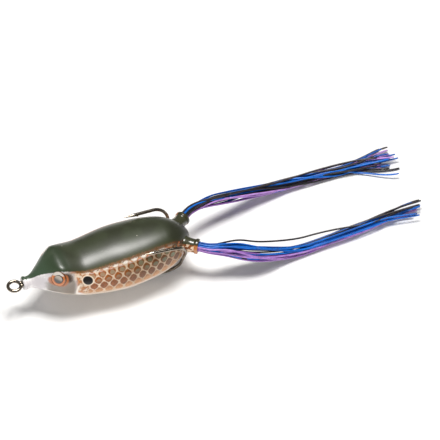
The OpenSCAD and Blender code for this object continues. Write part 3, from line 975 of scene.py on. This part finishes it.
def strand_path(word, i, x):
    """One strand's middle line at places x along its leg."""
    side = SIDES[word]
    from_middle = LEG_SPREAD * math.sqrt((i + 0.5) / STRANDS)
    turn = i * GOLDEN_ANGLE
    start_u, start_v = from_middle * math.cos(turn), from_middle * math.sin(turn)
    seed = 100 * (side + 2) + i
    open_up = ease(x, MOUTH_X, MOUTH_X + 16)
    late = ease(x, 128, 158)
    amount, place, half = BULGE[word]
    bulge = amount * np.exp(-(((x - place) / half) ** 2))
    size = 1 + 0.30 * open_up + bulge + 0.15 * late
    twist = 1.5 * open_up * wander(x, 24, seed) + 1.4 * ease(x, MOUTH_X + 8, 150)
    u = size * (start_u * np.cos(twist) - start_v * np.sin(twist))
    v = size * (start_u * np.sin(twist) + start_v * np.cos(twist))
    u = u + open_up * (0.62 + bulge) * wander(x, 15, seed + 40)
    v = v + open_up * 0.50 * wander(x, 13, seed + 80)
    fan = np.random.default_rng(seed + 7).uniform(-1, 1)
    u = u + late**2 * FAN[word] * fan + 0.5 * late * wander(x, 9, seed + 120)
    if word == "left" and i == LOOSE_STRAND:
        arch = ease(x, 80, 96) * ease(-x, -142, -112)
        u = u * (1 - arch) + arch * (3.9 + 0.5 * np.sin(x / 7))
        v = v * (1 - arch) + arch * 1.6
    c, n, b = leg_frame(word, x)
    p = c + u[:, None] * n + v[:, None] * b
    # Nothing goes below the floor: low strands are pressed into a flatter layer.
    ground = FLOOR_Z + STRAND_R + 0.02
    gap = p[:, 2] - ground
    pressed = PRESSED_H * np.exp((gap - PRESSED_H) / PRESSED_H)
    p[:, 2] = ground + np.where(gap > PRESSED_H, gap, pressed)
    return p


def rubber(name, colour, shade):
    g = Graph(name, roughness=0.34, coat=0.15, coat_roughness=0.25)
    rest = g.rest()
    streak = g.noise(g.stretched(rest, (0.12, 1.0, 1.0)), 0.5, 2)
    tone = g.attribute("tone")
    mixed = g.mix(g.step(streak + tone * 0.5, 0.45, 0.95), colour, shade)
    g.bump(streak * 0.03, 1.0, 0.5)
    return g.finish(mixed)


RUBBERS = {
    "blue": rubber("rubber_blue", rgb(0, 112, 214), rgb(2, 76, 158)),
    "black": rubber("rubber_black", rgb(54, 46, 48), rgb(24, 20, 24)),
    "violet": rubber("rubber_violet", rgb(196, 150, 222), rgb(150, 104, 178)),
}


def make_leg(word):
    side = SIDES[word]
    colours = strand_colours(word)
    pieces = {(part, c): ([], [], []) for part in ("leg", "tip") for c in COLOURS}
    g = np.random.default_rng(31 + side)
    for i in range(STRANDS):
        colour = colours[i]
        end_x = LONGEST_X - g.uniform(0, LENGTH_SPREAD) - (CUT_SHORT if g.uniform() < 0.2 else 0)
        tone = g.uniform()
        for part, x in (
            ("leg", np.linspace(MOUTH_X - 1.2, SPLIT_X, 40)),
            ("tip", np.linspace(SPLIT_X, end_x, 90)),
        ):
            path = strand_path(word, i, x)
            radius = np.full(len(x), STRAND_R)
            if part == "tip":
                radius[-3:] *= (0.98, 0.9, 0.7)
            verts, faces = tube_mesh(path, radius)
            vs, fs, tones = pieces[part, colour]
            base = sum(len(v) for v in vs)
            vs.append(verts)
            fs.extend([tuple(base + k for k in f) for f in faces])
            tones.append(np.full(len(verts), tone))
    turns = {"leg": LEG_TURN, "tip": TIP_TURN}
    for (part, colour), (vs, fs, tones) in pieces.items():
        ob = new_object(f"{word}_{part}_{colour}_strands", np.concatenate(vs), fs)
        set_attribute(ob, "tone", np.concatenate(tones))
        remember_rest(ob)
        paint(ob, RUBBERS[colour])
        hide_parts(f"{word}_{part}_{colour}")
        start, end = (Vector(leg_frame(word, np.array([x]))[0][0]) * MM for x in turns[part])
        if part == "leg":
            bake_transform(ob)
        else:
            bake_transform(ob)


for word in SIDES:
    make_leg(word)


# ---- Carried-over CAD parts ---------------------------------------------------------------


def metal(name, bright, dark, roughness, grain_mm, bump_mm):
    g = Graph(name, roughness=roughness, metallic=1.0)
    place = g.place_mm()
    grain = g.noise(place, grain_mm, 3, 0.6)
    stain = g.noise(place, grain_mm * 12, 2)
    colour = g.mix(g.step(stain * 0.6 + grain * 0.4, 0.3, 0.7), bright, dark)
    g.bump(grain * bump_mm, 1.0, 0.5)
    return g.finish(colour, roughness + grain * 0.12)


def plastic(name, colour, shade, roughness, size):
    g = Graph(name, roughness=roughness)
    place = g.place_mm()
    grain = g.noise(place, size, 3, 0.6)
    mixed = g.mix(g.step(grain, 0.35, 0.65), colour, shade)
    g.bump(grain * 0.02, 1.0, 0.5)
    return g.finish(mixed, roughness + grain * 0.1)


def cad_rubber(name, colour, shade):
    g = Graph(name, roughness=0.4)
    place = g.place_mm()
    streak = g.noise(place, 0.5, 3)
    mixed = g.mix(g.step(streak, 0.35, 0.65), colour, shade)
    g.bump(streak * 0.05, 1.0, 0.5)
    return g.finish(mixed)


CAD_FINISHES = {
    "double_hook": metal("hook_nickel", rgb(176, 166, 152), rgb(118, 106, 94), 0.12, 0.25, 0.004),
    "keel_weight": metal("cast_weight", rgb(112, 112, 114), rgb(78, 78, 80), 0.42, 0.5, 0.03),
    "rattle_balls": metal("ball_steel", rgb(190, 192, 196), rgb(160, 162, 166), 0.12, 0.4, 0.002),
    "nose_sleeve": plastic("sleeve", rgb(196, 192, 184), rgb(160, 156, 150), 0.30, 0.5),
    "rattle_tube": plastic("rattle_wall", rgb(206, 216, 220), rgb(184, 196, 204), 0.15, 1.0),
    "rattle_plugs": plastic("plug", rgb(228, 228, 224), rgb(206, 206, 202), 0.45, 0.6),
    "left_eye_disc": plastic("eye_foil", rgb(196, 110, 52), rgb(150, 78, 34), 0.25, 0.3),
    "skirt_tie": plastic("tie_rubber", rgb(44, 44, 46), rgb(28, 28, 30), 0.55, 0.4),
    "skirt_loop_blue": cad_rubber("loop_blue", rgb(12, 104, 214), rgb(8, 62, 150)),
    "skirt_loop_black": cad_rubber("loop_black", rgb(54, 46, 48), rgb(24, 20, 24)),
    "skirt_loop_violet": cad_rubber("loop_violet", rgb(196, 150, 222), rgb(150, 104, 178)),
}
CAD_FINISHES["right_eye_disc"] = CAD_FINISHES["left_eye_disc"]
for node, material in CAD_FINISHES.items():
    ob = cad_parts[node]
    if not ob.material_slots:
        ob.data.materials.append(material)
    for s in ob.material_slots:
        s.material = material


# ---- Floor and light ----------------------------------------------------------------------


FLOOR_REACH = 3000.0


def make_floor():
    corners = [(FLOOR_REACH * i, FLOOR_REACH * j, 0) for i, j in ((-1, -1), (1, -1), (1, 1), (-1, 1))]
    ob = new_object("floor", corners, [(0, 1, 2, 3)], smooth_shade=False)
    ob.location.z = (FLOOR_Z - 0.01) * MM
    g = Graph("floor_paper", roughness=0.9)
    place = g.place_mm()
    grain = g.noise(place, 3.0, 2)
    paint(ob, g.finish(g.mix(grain, (0.90, 0.90, 0.90), (0.93, 0.93, 0.93))))


make_floor()
middle = (0.04, 0.0, 0.0)
area_light("softbox", (0.115, 0.09, 0.60), middle, (0.28, 0.20), 4.4, (1.0, 0.985, 0.96))
area_light("front_fill", (-0.30, -0.80, 0.24), middle, (0.8, 0.5), 5.0, seen_in_gloss=False)
world = bpy.data.worlds.new("studio")
bpy.context.scene.world = world
world.use_nodes = True
world.node_tree.nodes["Background"].inputs["Color"].default_value = (1.0, 1.0, 1.0, 1.0)
world.node_tree.nodes["Background"].inputs["Strength"].default_value = 0.12
bpy.context.scene.view_settings.view_transform = "Standard"
